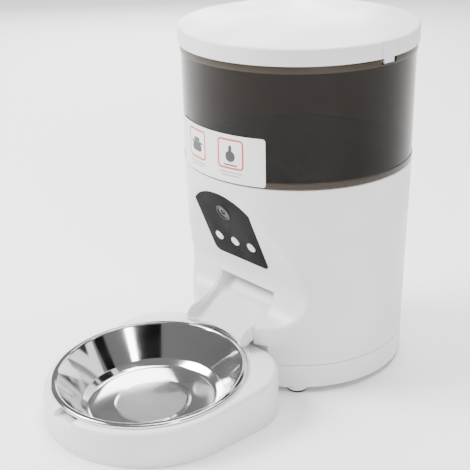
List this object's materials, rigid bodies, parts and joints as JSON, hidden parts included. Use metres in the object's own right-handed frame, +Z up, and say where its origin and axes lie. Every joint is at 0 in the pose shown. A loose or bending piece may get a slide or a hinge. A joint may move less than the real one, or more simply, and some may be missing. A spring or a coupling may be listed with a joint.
{
  "type": "automatic pet feeder",
  "caption": "Automatic pet feeder: a round white tower with a smoked food tank, camera and button panel, and a chute over a steel bowl in a docked tray.",
  "frame": {"origin": "on the floor, at the middle of the whole footprint", "axes": "+Z up; -Y is the front, towards the bowl; +X is the right-hand side seen from the front"},
  "size_m": [0.2, 0.3582, 0.297],
  "materials": {
    "white_shell": "satin moulded white",
    "white_inner": "matte moulded white",
    "white_buttons": "satin white",
    "seal_rubber": "soft silicone",
    "screw_steel": "plated steel",
    "smoked_tank": "smoked brown clear plastic",
    "label_paper": "printed label film",
    "dark_funnel": "dark moulded plastic",
    "wheel_plastic": "natural moulded plastic",
    "gear_plastic": "natural acetal",
    "brass": "machined",
    "motor_steel": "plated",
    "black_rubber": "matte",
    "fascia_black": "fine textured",
    "camera_black": "black",
    "camera_glass": "dark glass window",
    "circuit_green": "solder mask",
    "chip_black": "moulded",
    "cable_grey": "insulation",
    "cable_red": "insulation",
    "cable_black": "insulation",
    "bowl_steel": "mirror polished"
  },
  "bodies": {
    "tower": {"body_shell": "white_shell", "base_tub": "white_shell", "foot_pads": "black_rubber", "base_screws": "screw_steel", "chassis": "white_inner", "chassis_screws": "screw_steel", "chute": "white_shell", "kibble_sensors": "camera_black", "control_fascia": "fascia_black", "camera_bezel": "camera_black", "camera_window": "camera_glass", "camera_module": "circuit_green", "button_switches": "camera_black", "button_board": "circuit_green", "gearbox_base": "white_inner", "gearbox_cover": "white_inner", "gearbox_screws": "screw_steel", "idler_axle": "screw_steel", "motor": "motor_steel", "main_board": "circuit_green", "board_parts": "chip_black", "board_screws": "screw_steel", "speaker": "camera_black", "power_socket": "camera_black", "battery_box": "white_inner", "battery_contacts": "motor_steel", "ribbon_cable": "cable_grey", "motor_lead": "cable_red", "power_lead": "cable_black"},
    "tank": {"food_tank": "smoked_tank", "tank_label": "label_paper", "hopper_funnel": "dark_funnel", "funnel_screws": "screw_steel", "wheel_cover": "dark_funnel"},
    "lid": {"lid_shell": "white_shell", "lid_liner": "white_inner", "lid_seal": "seal_rubber", "lid_screws": "screw_steel", "desiccant_box": "white_inner"},
    "latch_left": {"latch_left": "white_shell"},
    "latch_right": {"latch_right": "white_shell"},
    "rotor": {"feeding_wheel": "wheel_plastic", "wheel_blades": "seal_rubber", "stirrer": "wheel_plastic"},
    "drive": {"drive_gear": "gear_plastic", "drive_dog": "gear_plastic"},
    "idler": {"idler_gear": "gear_plastic"},
    "pinion": {"motor_shaft": "screw_steel", "motor_pinion": "brass"},
    "button_left": {"button_left": "white_buttons"},
    "button_middle": {"button_middle": "white_buttons"},
    "button_right": {"button_right": "white_buttons"},
    "battery_door": {"battery_door": "white_shell"},
    "tray": {"bowl_tray": "white_shell", "tray_pads": "black_rubber"},
    "bowl": {"bowl": "bowl_steel"}
  },
  "joints": [
    {"name": "tank_lift", "type": "slide", "parent": "tower", "child": "tank", "axis": [0, 0, 1], "range_m": [0, 0.12]},
    {"name": "lid_lift", "type": "slide", "parent": "tank", "child": "lid", "axis": [0, 0, 1], "range_m": [0, 0.12]},
    {"name": "latch_left_press", "type": "hinge", "parent": "lid", "child": "latch_left", "pos_m": [-0.091, 0.0791, 0.29575], "axis": [0, -1, 0], "range_deg": [0, 4], "stiffness_Nm_per_rad": 0.5},
    {"name": "latch_right_press", "type": "hinge", "parent": "lid", "child": "latch_right", "pos_m": [0.091, 0.0791, 0.29575], "axis": [0, 1, 0], "range_deg": [0, 4], "stiffness_Nm_per_rad": 0.5},
    {"name": "wheel_turn", "type": "hinge", "parent": "tank", "child": "rotor", "pos_m": [0, 0.0791, 0.13], "axis": [0, 0, 1], "continuous": true},
    {"name": "drive_turn", "type": "hinge", "parent": "tower", "child": "drive", "pos_m": [0, 0.0791, 0.1], "axis": [0, 0, 1], "continuous": true},
    {"name": "idler_turn", "type": "hinge", "parent": "tower", "child": "idler", "pos_m": [0, 0.1001, 0.097], "axis": [0, 0, 1], "continuous": true},
    {"name": "pinion_turn", "type": "hinge", "parent": "tower", "child": "pinion", "pos_m": [0, 0.1211, 0.092], "axis": [0, 0, 1], "continuous": true},
    {"name": "battery_door_swing", "type": "hinge", "parent": "tower", "child": "battery_door", "pos_m": [0, 0.1206, 0.005], "axis": [1, 0, 0], "range_deg": [0, 60]},
    {"name": "tray_pull", "type": "slide", "parent": "tower", "child": "tray", "axis": [0, -1, 0], "range_m": [0, 0.05]},
    {"name": "bowl_tip", "type": "hinge", "parent": "tray", "child": "bowl", "pos_m": [0, -0.0115, 0.0394], "axis": [-1, 0, 0], "range_deg": [0, 8]},
    {"name": "button_left_press", "type": "slide", "parent": "tower", "child": "button_left", "axis": [0, 0.9205, 0.3907], "range_m": [0, 0.0008], "stiffness_N_per_m": 400},
    {"name": "button_middle_press", "type": "slide", "parent": "tower", "child": "button_middle", "axis": [0, 0.9205, 0.3907], "range_m": [0, 0.0008], "stiffness_N_per_m": 400},
    {"name": "button_right_press", "type": "slide", "parent": "tower", "child": "button_right", "axis": [0, 0.9205, 0.3907], "range_m": [0, 0.0008], "stiffness_N_per_m": 400}
  ],
  "couplings": [
    {"joint": "drive_turn", "follows": "wheel_turn", "ratio": 1},
    {"joint": "idler_turn", "follows": "wheel_turn", "ratio": -2.5},
    {"joint": "pinion_turn", "follows": "wheel_turn", "ratio": 8}
  ]
}
